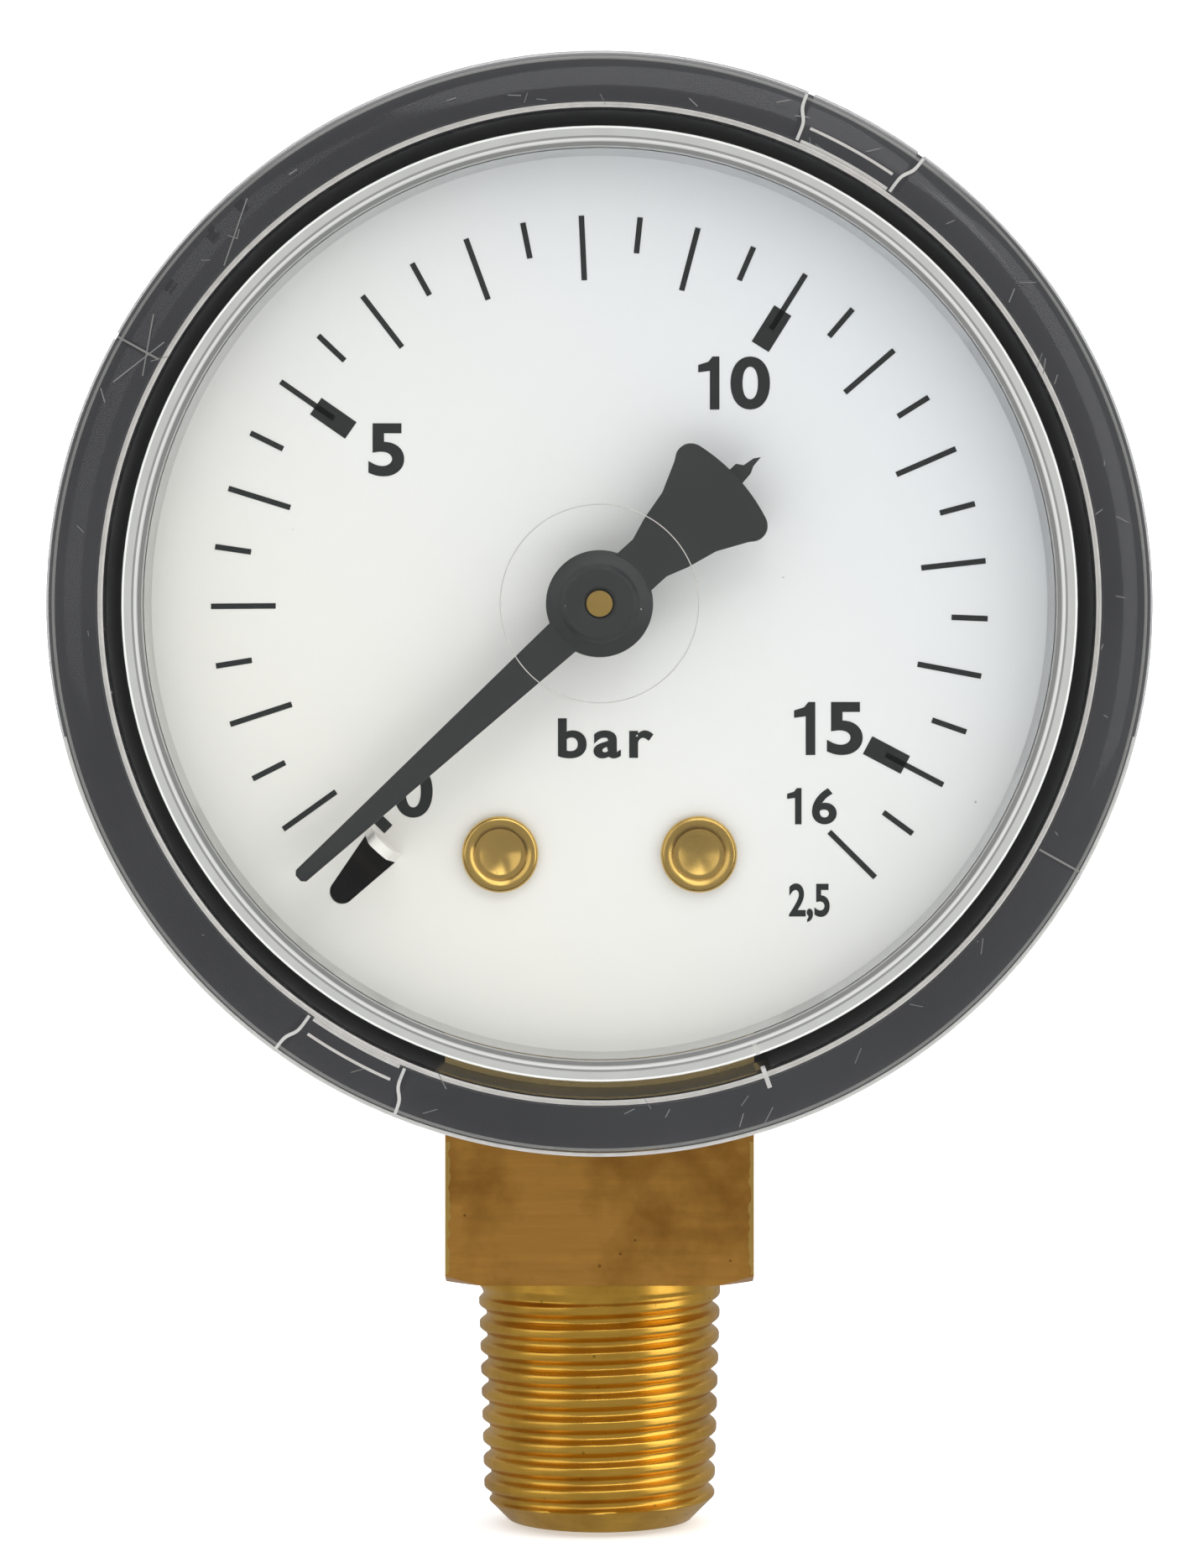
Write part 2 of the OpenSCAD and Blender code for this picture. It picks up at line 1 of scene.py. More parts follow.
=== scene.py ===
"""Pressure gauge: finishes, printed scale, fine shapes and stage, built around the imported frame."""

import json
import math
import random

import bmesh
import bpy
import numpy as np
from mathutils import Matrix, Vector


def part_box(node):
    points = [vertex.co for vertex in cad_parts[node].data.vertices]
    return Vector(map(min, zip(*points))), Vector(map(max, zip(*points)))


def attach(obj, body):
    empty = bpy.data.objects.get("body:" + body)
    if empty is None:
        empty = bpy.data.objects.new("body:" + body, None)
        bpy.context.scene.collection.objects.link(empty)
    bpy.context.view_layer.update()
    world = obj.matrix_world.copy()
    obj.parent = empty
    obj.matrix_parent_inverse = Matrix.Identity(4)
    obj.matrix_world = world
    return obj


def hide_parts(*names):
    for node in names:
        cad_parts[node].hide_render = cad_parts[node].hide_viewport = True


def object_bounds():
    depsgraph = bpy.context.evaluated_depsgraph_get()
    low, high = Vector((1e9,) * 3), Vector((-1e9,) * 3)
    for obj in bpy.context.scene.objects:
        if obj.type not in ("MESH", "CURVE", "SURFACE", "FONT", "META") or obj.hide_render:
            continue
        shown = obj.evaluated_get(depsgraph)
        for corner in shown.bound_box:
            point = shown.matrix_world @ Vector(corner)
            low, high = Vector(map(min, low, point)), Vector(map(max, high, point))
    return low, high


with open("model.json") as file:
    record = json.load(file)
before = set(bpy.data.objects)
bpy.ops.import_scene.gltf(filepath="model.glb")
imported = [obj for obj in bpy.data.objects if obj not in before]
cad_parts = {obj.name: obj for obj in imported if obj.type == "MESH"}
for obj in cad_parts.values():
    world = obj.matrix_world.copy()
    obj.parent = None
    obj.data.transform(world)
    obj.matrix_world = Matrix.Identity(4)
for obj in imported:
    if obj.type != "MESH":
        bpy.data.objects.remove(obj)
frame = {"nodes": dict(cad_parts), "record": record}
CAD_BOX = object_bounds()

bl_info = {
    "name": "Pressure Gauge",
    "version": (1, 0, 0),
    "blender": (4, 5, 0),
    "location": "View3D > Sidebar > Gauge",
    "description": "Builds the looks of a small dial pressure gauge around its packed frame",
    "category": "Add Mesh",
}

MM = 0.001


def joint_height(joint):
    """The height of the dial's centre, which is the height of the pointer's hinge."""
    record = frame["record"]["behaviour"]["joints"]
    return next(j["pos_m"][2] for j in record if j["name"] == joint)


DIAL_Z = joint_height("pointer_turn")
DIAL_FRONT = -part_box("dial_rivets")[0][1] - 0.4 * MM
PANE_FRONT = -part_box("window")[0][1] - 0.5 * MM
PANE_BACK = PANE_FRONT - 1.4 * MM


# ---------------------------------------------------------------- sizes and colours

def length(name, description, millimetres):
    return bpy.props.FloatProperty(
        name=name, description=description, default=millimetres * MM, unit="LENGTH", precision=5
    )


def angle(name, description, degrees):
    return bpy.props.FloatProperty(
        name=name, description=description, default=math.radians(degrees), subtype="ANGLE"
    )


def colour(name, description, red, green, blue):
    return bpy.props.FloatVectorProperty(
        name=name, description=description, default=(red, green, blue), size=3, subtype="COLOR", min=0, max=1
    )


class GaugeScale(bpy.types.PropertyGroup):
    """The printed scale, with clock angles from the top"""
    angle_of_two: angle("Angle of 2", "Clock angle of the mark for 2", -108.1)
    span: angle("Span", "Turn from the mark for 2 to the mark for 16", 242.9)
    bow: angle("Bow", "How far the middle of the scale runs ahead", 1.35)
    angle_of_one: angle("Angle of 1", "Clock angle of the mark for 1", -125.5)
    outer: length("Outer radius", "Radius at which every mark ends", 15.0)
    long_inner: length("Long mark", "Radius at which a whole mark starts", 12.5)
    short_inner: length("Short mark", "Radius at which a half mark starts", 13.6)
    block_inner: length("Block start", "Radius at which a main block starts", 11.7)
    block_outer: length("Block end", "Radius at which a main block ends", 13.35)
    stroke: length("Stroke", "Width of a mark", 0.215)
    block_width: length("Block width", "Width of a main block", 0.78)
    film: length("Film", "Thickness of the ink", 0.012)


class GaugePointer(bpy.types.PropertyGroup):
    """The moulded pointer"""
    reach: length("Reach", "Axis to tip", 15.6)
    hub: length("Hub radius", "Radius of the hub", 2.05)
    plateau: length("Plateau radius", "Radius of the raised middle of the hub", 1.4)
    root_half: length("Half width at hub", "Half the arm's width at the hub", 0.74)
    tip_half: length("Half width at tip", "Half the arm's width at the tip", 0.3)
    tail: length("Tail radius", "Radius of the tail's edge", 7.15)
    tail_half: angle("Tail half angle", "Half the angle of the tail", 20.2)
    neck_half: length("Neck half width", "Half the width of the tail's neck", 0.96)


class GaugeThread(bpy.types.PropertyGroup):
    """The tapered pipe thread"""
    crest_top: length("Crest radius at top", "Radius of the thread's crest under the square", 4.86)
    crest_end: length("Crest radius at end", "Radius of the thread's crest at the free end", 4.57)
    neck: length("Neck radius", "Radius of the neck under the square", 4.82)
    pitch: length("Pitch", "Height of one turn", 0.907)
    depth: length("Depth", "Depth of the groove", 0.29)
    bore: length("Bore radius", "Radius of the pressure port", 1.7)
    chamfer: length("Chamfer", "Chamfer at the free end", 0.9)


class GaugeColours(bpy.types.PropertyGroup):
    """Base colours of the finishes"""
    black: colour("Black moulding", "Case and its lip", 0.022, 0.022, 0.024)
    charcoal: colour("Charcoal", "Pointer", 0.020, 0.021, 0.0215)
    paint: colour("Dial paint", "Painted dial", 0.91, 0.90, 0.865)
    ink: colour("Ink", "Printed scale", 0.005, 0.008, 0.007)
    brass: colour("Brass", "Stem", 0.70, 0.35, 0.075)
    thread_brass: colour("Thread brass", "Pipe thread", 0.75, 0.43, 0.07)
    # Partly real and partly painted light: brass kept cleaner inside the case, made brighter to make up for
    # the shade there.
    clean_brass_painted_light: colour("Clean brass", "Stem inside the case", 0.95, 0.70, 0.30)
    bright_brass: colour("Bright brass", "Rivets and movement", 0.55, 0.36, 0.10)
    # Painted shade: darkened beyond aged bronze to stand for the deep shade on the tube seen through the hole
    # in the dial; the hairspring shares it.
    shade_darkened_bronze: colour("Bronze", "Tube and hairspring", 0.07, 0.045, 0.03)
    steel: colour("Steel", "Screws and pins", 0.62, 0.63, 0.65)
    rubber: colour("Rubber", "Blow-out plug", 0.03, 0.03, 0.032)
    frost: colour("Frosted edge", "Slits and moulded edges", 0.60, 0.59, 0.57)
    light_edge: colour("Light edge", "Edges that catch the light", 0.60, 0.58, 0.55)
    dim_edge: colour("Dim edge", "Edges and scratches out of the light", 0.20, 0.20, 0.19)
    ring: colour("Ring", "Locating ring", 0.78, 0.78, 0.76)
    floor: colour("Floor", "Floor and backdrop", 0.93, 0.93, 0.93)


GROUPS = {
    "gauge_scale": GaugeScale,
    "gauge_pointer": GaugePointer,
    "gauge_thread": GaugeThread,
    "gauge_colours": GaugeColours,
}


# ---------------------------------------------------------------- shader maths

class Value:
    """A socket that can be used in sums."""

    def __init__(self, finish, socket):
        self.finish = finish
        self.socket = socket

    def _sum(self, operation, first, second):
        node = self.finish.node("ShaderNodeMath", {"operation": operation}, {0: first, 1: second})
        return Value(self.finish, node.outputs[0])

    def __add__(self, other):
        return self._sum("ADD", self, other)

    __radd__ = __add__

    def __sub__(self, other):
        return self._sum("SUBTRACT", self, other)

    def __rsub__(self, other):
        return self._sum("SUBTRACT", other, self)

    def __mul__(self, other):
        return self._sum("MULTIPLY", self, other)

    __rmul__ = __mul__

    def above(self, other):
        return self._sum("GREATER_THAN", self, other)

    def power(self, other):
        return self._sum("POWER", self, other)


class Finish:
    """A procedural material under construction."""

    def __init__(self, name):
        self.material = bpy.data.materials.new(name)
        self.material.use_nodes = True
        self.tree = self.material.node_tree
        self.tree.nodes.clear()
        coords = self.node("ShaderNodeTexCoord")
        self.place = coords.outputs["Object"]

    def node(self, kind, settings=None, inputs=None):
        node = self.tree.nodes.new(kind)
        for key, value in (settings or {}).items():
            setattr(node, key, value)
        for key, value in (inputs or {}).items():
            if isinstance(value, Value):
                value = value.socket
            if isinstance(value, bpy.types.NodeSocket):
                self.tree.links.new(value, node.inputs[key])
            else:
                node.inputs[key].default_value = value
        return node

    def stretched(self, scale):
        """Object coordinates multiplied by a scale on each axis."""
        node = self.node("ShaderNodeMapping", None, {"Vector": self.place, "Scale": scale})
        return node.outputs[0]

    def noise(self, scale, detail=3.0, rough=0.5, stretch=(1, 1, 1)):
        node = self.node(
            "ShaderNodeTexNoise",
            None,
            {"Vector": self.stretched(stretch), "Scale": scale, "Detail": detail, "Roughness": rough},
        )
        return Value(self, node.outputs[0])

    def specks(self, scale, size):
        """Small round spots: 1 inside a spot and 0 outside."""
        node = self.node("ShaderNodeTexVoronoi", None, {"Vector": self.place, "Scale": scale})
        return 1 - Value(self, node.outputs["Distance"]).above(size)

    def radius(self):
        """Distance from the dial's axis, in metres."""
        parts = self.node("ShaderNodeSeparateXYZ", None, {0: self.place})
        x = Value(self, parts.outputs["X"])
        z = Value(self, parts.outputs["Z"]) - DIAL_Z
        return (x * x + z * z).power(0.5)

    def mix(self, factor, first, second):
        node = self.node(
            "ShaderNodeMix", {"data_type": "RGBA"}, {0: factor, 6: rgba(first), 7: rgba(second)}
        )
        return node.outputs[2]

    def bump(self, height, strength, distance):
        node = self.node(
            "ShaderNodeBump", None, {"Height": height, "Strength": strength, "Distance": distance}
        )
        return node.outputs[0]

    def surface(self, **inputs):
        names = {key.replace("_", " "): value for key, value in inputs.items()}
        shader = self.node("ShaderNodeBsdfPrincipled", None, names)
        self.node("ShaderNodeOutputMaterial", None, {"Surface": shader.outputs[0]})
        return self.material


def rgba(value):
    """A colour of three numbers as four; a socket is left alone."""
    if isinstance(value, (bpy.types.NodeSocket, Value)):
        return value
    return (*value[:3], 1.0)


def shade(value, factor):
    return tuple(min(1.0, c * factor) for c in value)


# ---------------------------------------------------------------- finishes

def moulding(name, base, roughness, speck_share=0.0):
    """Moulded plastic with an orange-peel skin, handling marks and a little dust."""
    f = Finish(name)
    cloud = f.noise(260, 4, 0.6)
    tone = f.mix(cloud, shade(base, 0.8), shade(base, 1.35))
    if speck_share:
        dust = f.specks(1500, speck_share) * f.noise(420, 2).above(0.57)
        tone = f.mix(dust, tone, (0.42, 0.42, 0.40))
    peel = f.noise(3800, 2) + f.noise(900, 3) * 0.6
    return f.surface(
        Base_Color=tone,
        Roughness=roughness + (cloud - 0.5) * 0.18,
        Normal=f.bump(peel, 0.18, 0.00002),
    )


def rim_moulding(name, base):
    """The black lip as the clear rim shows it: even, with slow changes of tone and no grain."""
    f = Finish(name)
    tone = f.mix(f.noise(90, 2), shade(base, 0.7), shade(base, 1.5))
    return f.surface(Base_Color=tone, Roughness=0.6, Specular_IOR_Level=0.1)


def painted_dial(name, base):
    """Painted sheet with a faint mottle; painted light: warmer to the lower left, cooler and darker to the
    upper right.
    """
    f = Finish(name)
    parts = f.node("ShaderNodeSeparateXYZ", None, {0: f.place})
    # Painted light: the tone drifts evenly from a warmer, brighter lower left to a cooler, darker upper
    # right.
    light_drift_per_metre = 22
    across = Value(f, parts.outputs["X"]) * light_drift_per_metre
    rise = (Value(f, parts.outputs["Z"]) - DIAL_Z) * light_drift_per_metre
    lower_left = (base[0], base[1] * 0.985, base[2] * 0.96)
    upper_right = (base[0] * 0.89, base[1] * 0.935, base[2] * 1.02)
    painted_light_tone = f.mix(across + rise + 0.35, lower_left, upper_right)
    mottle = f.noise(900, 4, 0.6)
    tone = f.mix(mottle * 0.12, painted_light_tone, shade(base, 0.8))
    dust = f.specks(900, 0.045) * f.noise(300, 2).above(0.6)
    tone = f.mix(dust * 0.6, tone, (0.30, 0.28, 0.25))
    return f.surface(
        Base_Color=tone, Roughness=0.42 + mottle * 0.16, Normal=f.bump(f.noise(5200, 2), 0.12, 0.00001)
    )


def printing_ink(name, base):
    """Screen-printed ink, slightly uneven."""
    f = Finish(name)
    cloud = f.noise(2600, 3)
    return f.surface(Base_Color=f.mix(cloud, base, shade(base, 1.9)), Roughness=0.45 + cloud * 0.2)


def worn_metal(name, base, roughness, grain, stain, clean_lit_above=None):
    """Drawn or milled metal: fine grain along one direction, darker stains and small dark specks.
    Above a given height, where the case keeps the air off, it is cleaner, and brighter with painted light."""
    f = Finish(name)
    brush = f.noise(420, 4, 0.65, grain)
    patch = f.noise(170, 5, 0.62)
    tone = f.mix(brush, shade(base, 0.78), shade(base, 1.15))
    cover = (patch - 0.47) * 5 * stain
    clamped = f.node("ShaderNodeClamp", None, {0: cover})
    tone = f.mix(Value(f, clamped.outputs[0]), tone, (base[0] * 0.42, base[1] * 0.34, base[2] * 0.26))
    dots = f.specks(1400, 0.09) * f.noise(500, 2).above(0.56)
    tone = f.mix(dots * stain, tone, shade(base, 0.3))
    rough = roughness + (patch - 0.5) * 0.35 + (brush - 0.5) * 0.2
    if clean_lit_above is not None:
        # Painted light, partly cleaner brass: above this height the colour turns to a bright brass that makes
        # up for the shade inside the case.
        height = f.node("ShaderNodeSeparateXYZ", None, {0: f.place}).outputs["Z"]
        lit_inside = Value(f, height).above(clean_lit_above)
        tone = f.mix(lit_inside, tone, bpy.context.scene.gauge_colours.clean_brass_painted_light)
    return f.surface(
        Base_Color=tone,
        Metallic=1.0,
        Roughness=rough,
        Normal=f.bump(brush + f.noise(2400, 3) * 0.35, 0.22, 0.00002),
    )


def clear_moulding(name):
    """Clear plastic: light passes, and both skins shine by angle. The light goes straight on, so
    the skin inside must not throw it back as a bent ray would be."""
    f = Finish(name)
    ripple = f.bump(f.noise(120, 2), 0.05, 0.00002)
    gloss = f.node("ShaderNodeBsdfGlossy", None, {"Roughness": 0.14, "Normal": ripple})
    clear = f.node("ShaderNodeBsdfTransparent", None, {"Color": (0.985, 0.99, 0.99, 1)})
    skin = f.node("ShaderNodeLayerWeight", None, {"Blend": 0.5, "Normal": ripple})
    straight_on = 0.026
    shine = straight_on + (1 - straight_on) * Value(f, skin.outputs["Facing"]).power(5)
    both = f.node("ShaderNodeMixShader", None, {0: shine, 1: clear.outputs[0], 2: gloss.outputs[0]})
    f.node("ShaderNodeOutputMaterial", None, {"Surface": both.outputs[0]})
    return f.material


def frosted_edge(name, base, darkest=0.7):
    """The milky broken edge of a clear moulding; in the light and dim edge colours, painted highlight lines.
    """
    f = Finish(name)
    cloud = f.noise(1700, 4, 0.7)
    return f.surface(
        Base_Color=f.mix(cloud, shade(base, darkest), base),
        Roughness=0.5 + cloud * 0.2,
        Normal=f.bump(cloud, 0.3, 0.00003),
    )


def ring_moulding(name, light):
    """The window's locating ring: stepped greys by radius, painted highlights where edges catch light,
    painted shade between.
    """
    f = Finish(name)
    r = f.radius() * (1 / MM)
    tone = f.mix(f.noise(800, 3), shade(light, 0.58), shade(light, 0.68))
    # Painted light: the brighter steps are painted highlights, the darker ones painted shade.
    steps = ((17.40, 17.56, 0.26), (17.60, 17.70, 0.85), (17.70, 17.79, 0.34), (18.07, 18.15, 1.15))
    for inner, outer, factor in steps:
        band = r.above(inner) * (1 - r.above(outer))
        tone = f.mix(band, tone, shade(light, factor))
    return f.surface(Base_Color=tone, Roughness=0.42 + f.noise(900, 2) * 0.15)


MADE = {}


def finishes():
    """Every finish, made once from the colours."""
    if not MADE:
        c = bpy.context.scene.gauge_colours
        MADE.update({
            "case_plastic": moulding("case_plastic", c.black, 0.34, 0.07),
            "pointer_plastic": moulding("pointer_plastic", c.charcoal, 0.5, 0.05),
            "window_clear": clear_moulding("window_clear"),
            "dial_white": painted_dial("dial_white", c.paint),
            "dial_ink": printing_ink("dial_ink", c.ink),
            "stem_brass": worn_metal("stem_brass", c.brass, 0.34, (0.6, 1, 9), 0.75, clean_lit_above=6.2 * MM),
            "thread_brass": worn_metal("thread_brass", c.thread_brass, 0.3, (1, 1, 14), 0.6),
            "rivet_brass": worn_metal("rivet_brass", shade(c.bright_brass, 1.35), 0.27, (1, 1, 1), 0.2),
            "movement_brass": worn_metal("movement_brass", c.bright_brass, 0.3, (1, 1, 8), 0.3),
            # Painted shade: the tube's bronze is darkened to stand for the shade it lies in.
            "tube_bronze": worn_metal("tube_bronze", c.shade_darkened_bronze, 0.33, (1, 8, 1), 0.45),
            "bright_steel": worn_metal("bright_steel", c.steel, 0.3, (6, 1, 1), 0.15),
            "plug_rubber": moulding("plug_rubber", c.rubber, 0.72),
            "frosted_edge": frosted_edge("frosted_edge", c.frost),
            "rim_black": rim_moulding("rim_black", shade(c.black, 1.7)),
            "edge_light": frosted_edge("edge_light", c.light_edge, 0.6),
            "edge_grey": frosted_edge("edge_grey", c.dim_edge, 0.8),
            "locating_ring": ring_moulding("locating_ring", c.ring),
        })
    return MADE


# ---------------------------------------------------------------- meshes

def piece(name, bm, finish, body, smooth=35):
    """Turns a bmesh in row coordinates into a finished piece that rides on a body."""
    bmesh.ops.remove_doubles(bm, verts=bm.verts, dist=1e-7)
    bmesh.ops.recalc_face_normals(bm, faces=bm.faces)
    mesh = bpy.data.meshes.new(name)
    bm.to_mesh(mesh)
    bm.free()
    obj = bpy.data.objects.new(name, mesh)
    bpy.context.scene.collection.objects.link(obj)
    return dress(obj, finish, body, smooth)


def dress(obj, finish, body, smooth=35):
    """Gives a piece its finish, its smooth shading and its body."""
    obj.data.materials.clear()
    obj.data.materials.append(finishes()[finish])
    if smooth:
        obj.data.shade_smooth()
        obj.data.set_sharp_from_angle(angle=math.radians(smooth))
    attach(obj, body)
    return obj


def lets_light_by(obj):
    """For what only shows where clear plastic bends light: it stops no light on its way in."""
    obj.visible_shadow = False
    obj.visible_diffuse = False


def apply_modifiers(obj):
    """Replaces an object's mesh by what its modifiers make of it."""
    evaluated = obj.evaluated_get(bpy.context.evaluated_depsgraph_get())
    mesh = bpy.data.meshes.new_from_object(evaluated)
    obj.modifiers.clear()
    obj.data = mesh
    return obj


def ahead(x, z, distance):
    """A place in the dial's plane, at a distance ahead of the stem's axis."""
    return Vector((x, -distance, DIAL_Z + z))


def clock(radius, turn):
    """A place at a clock angle from the top."""
    return radius * math.sin(turn), radius * math.cos(turn)


def prism(bm, outline, back, front):
    """A closed prism of an outline in the dial's plane."""
    low = [bm.verts.new(ahead(x, z, back)) for x, z in outline]
    high = [bm.verts.new(ahead(x, z, front)) for x, z in outline]
    bm.faces.new(low)
    bm.faces.new(reversed(high))
    for i in range(len(outline)):
        j = (i + 1) % len(outline)
        bm.faces.new((low[i], high[i], high[j], low[j]))
    return high


def lathe(bm, outline, steps=160, centre=(0, 0)):
    """A closed ring about the dial's axis. The outline holds radius and distance ahead."""
    rows = []
    for k in range(steps):
        turn = 2 * math.pi * k / steps
        row = []
        for radius, distance in outline:
            x, z = clock(radius, turn)
            row.append(bm.verts.new(ahead(x + centre[0], z + centre[1], distance)))
        rows.append(row)
    for k in range(steps):
        here, there = rows[k], rows[(k + 1) % steps]
        for i in range(len(outline)):
            j = (i + 1) % len(outline)
            bm.faces.new((here[i], here[j], there[j], there[i]))


def bead(inner, outer, back, front):
    """The outline of a ring with a rounded front."""
    middle, half = (inner + outer) / 2, (outer - inner) / 2
    arc = [
        (middle + half * math.cos(a), front - half + half * math.sin(a))
        for a in np.linspace(0, math.pi, 7)
    ]
    return [(outer, back)] + arc + [(inner, back)]


def path_strip(bm, points, width, back, front):
    """A thin wall along a path in the dial's plane."""
    left, right = [], []
    for i, (x, z) in enumerate(points):
        before, after = points[max(i - 1, 0)], points[min(i + 1, len(points) - 1)]
        run = Vector((after[0] - before[0], after[1] - before[1])).normalized() * width / 2
        left.append((x - run.y, z + run.x))
        right.append((x + run.y, z - run.x))
    prism(bm, left + right[::-1], back, front)


# ---------------------------------------------------------------- CAD nodes that keep their shape

KEPT = {
    "case": "case_plastic", "window": "window_clear", "dial": "dial_white",
    "restrictor_screw": "rivet_brass", "case_screws": "bright_steel", "blowout_plug": "plug_rubber",
    "bourdon_tube": "tube_bronze", "tube_tip": "movement_brass", "link": "movement_brass",
    "link_tip_pin": "bright_steel", "link_tail_pin": "bright_steel", "sector": "movement_brass",
    "sector_arbor": "bright_steel", "pinion_shaft": "rivet_brass", "hairspring": "tube_bronze",
    "hairspring_collet": "movement_brass", "hairspring_stud": "movement_brass",
    "front_plate": "movement_brass", "back_plate": "movement_brass",
    "plate_pillars": "movement_brass", "plate_screws": "bright_steel",
}


class GAUGE_OT_kept_parts(bpy.types.Operator):
    """Gives every CAD node that keeps its shape its procedural finish"""
    bl_idname = "gauge.kept_parts"
    bl_label = "Finish the kept parts"

    def execute(self, context):
        for name, finish in KEPT.items():
            slots = frame["nodes"][name].material_slots
            if not slots:
                raise RuntimeError(f"{name} has no material slot")
            for slot in slots:
                slot.material = finishes()[finish]
        return {"FINISHED"}


# ---------------------------------------------------------------- stem

class GAUGE_OT_stem(bpy.types.Operator):
    """Builds the stem: the block as it is, and a tapered helical pipe thread under it"""
    bl_idname = "gauge.stem"
    bl_label = "Build the stem"

    def execute(self, context):
        self.block()
        self.edges()
        self.thread(context.scene.gauge_thread)
        return {"FINISHED"}

    def block(self):
        bm = bmesh.new()
        bm.from_mesh(frame["nodes"]["stem"].data)
        bmesh.ops.remove_doubles(bm, verts=bm.verts, dist=1e-7)
        bore = bpy.context.scene.gauge_thread.bore + 0.1 * MM

        def in_thread(face):
            under = any(v.co.z < -1e-6 for v in face.verts)
            return under and any(math.hypot(v.co.x, v.co.y) > bore for v in face.verts)

        bmesh.ops.delete(bm, geom=[f for f in bm.faces if in_thread(f)], context="FACES")
        obj = piece("stem_block", bm, "stem_brass", "root", 0)
        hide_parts("stem")

    def edges(self):
        """The bright burrs down the two front edges of the square, from a fixed seed."""
        draw = random.Random(3)
        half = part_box("stem")[1][0]
        bm = bmesh.new()
        for side in (-1, 1):
            heights = np.linspace(0.45 * MM, 5.6 * MM, 24)
            outer = [(side * half, z - DIAL_Z) for z in heights]
            inner = [(side * (half - draw.uniform(0.09, 0.24) * MM), z - DIAL_Z) for z in heights]
            prism(bm, outer + inner[::-1], half - 0.05 * MM, half + 0.012 * MM)
        piece("stem_burrs", bm, "rivet_brass", "root", 0)

    def thread(self, s):
        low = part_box("stem")[0][2]
        turns, rows = 144, 210
        neck_length = 0.6 * MM
        crest_share, flank_share = 0.2, 0.7
        heights = np.linspace(0, low, rows)
        bm = bmesh.new()
        grid = []
        for z in heights:
            crest = s.crest_top + (s.crest_end - s.crest_top) * z / low
            row = []
            for k in range(turns):
                turn = 2 * math.pi * k / turns
                phase = (z / s.pitch - turn / (2 * math.pi)) % 1.0
                groove = min(max((1 - abs(2 * phase - 1) - crest_share) / flank_share, 0), 1)
                groove = groove * groove * (3 - 2 * groove)
                run_out = min(max((-z - neck_length) / neck_length, 0), 1)
                radius = crest - s.depth * groove * run_out
                radius += (s.neck - crest) * (1 - run_out)
                radius = min(radius, s.crest_end - s.chamfer + (z - low))
                row.append(bm.verts.new((radius * math.cos(turn), radius * math.sin(turn), z)))
            grid.append(row)
        for here, there in zip(grid, grid[1:]):
            for k in range(turns):
                n = (k + 1) % turns
                bm.faces.new((here[k], here[n], there[n], there[k]))
        for row, z in ((grid[0], 0), (grid[-1], low)):
            around = [2 * math.pi * k / turns for k in range(turns)]
            rim = [bm.verts.new((s.bore * math.cos(a), s.bore * math.sin(a), z)) for a in around]
            for k in range(turns):
                n = (k + 1) % turns
                bm.faces.new((row[k], row[n], rim[n], rim[k]))
        piece("stem_thread", bm, "thread_brass", "root", 50)


# ---------------------------------------------------------------- dial

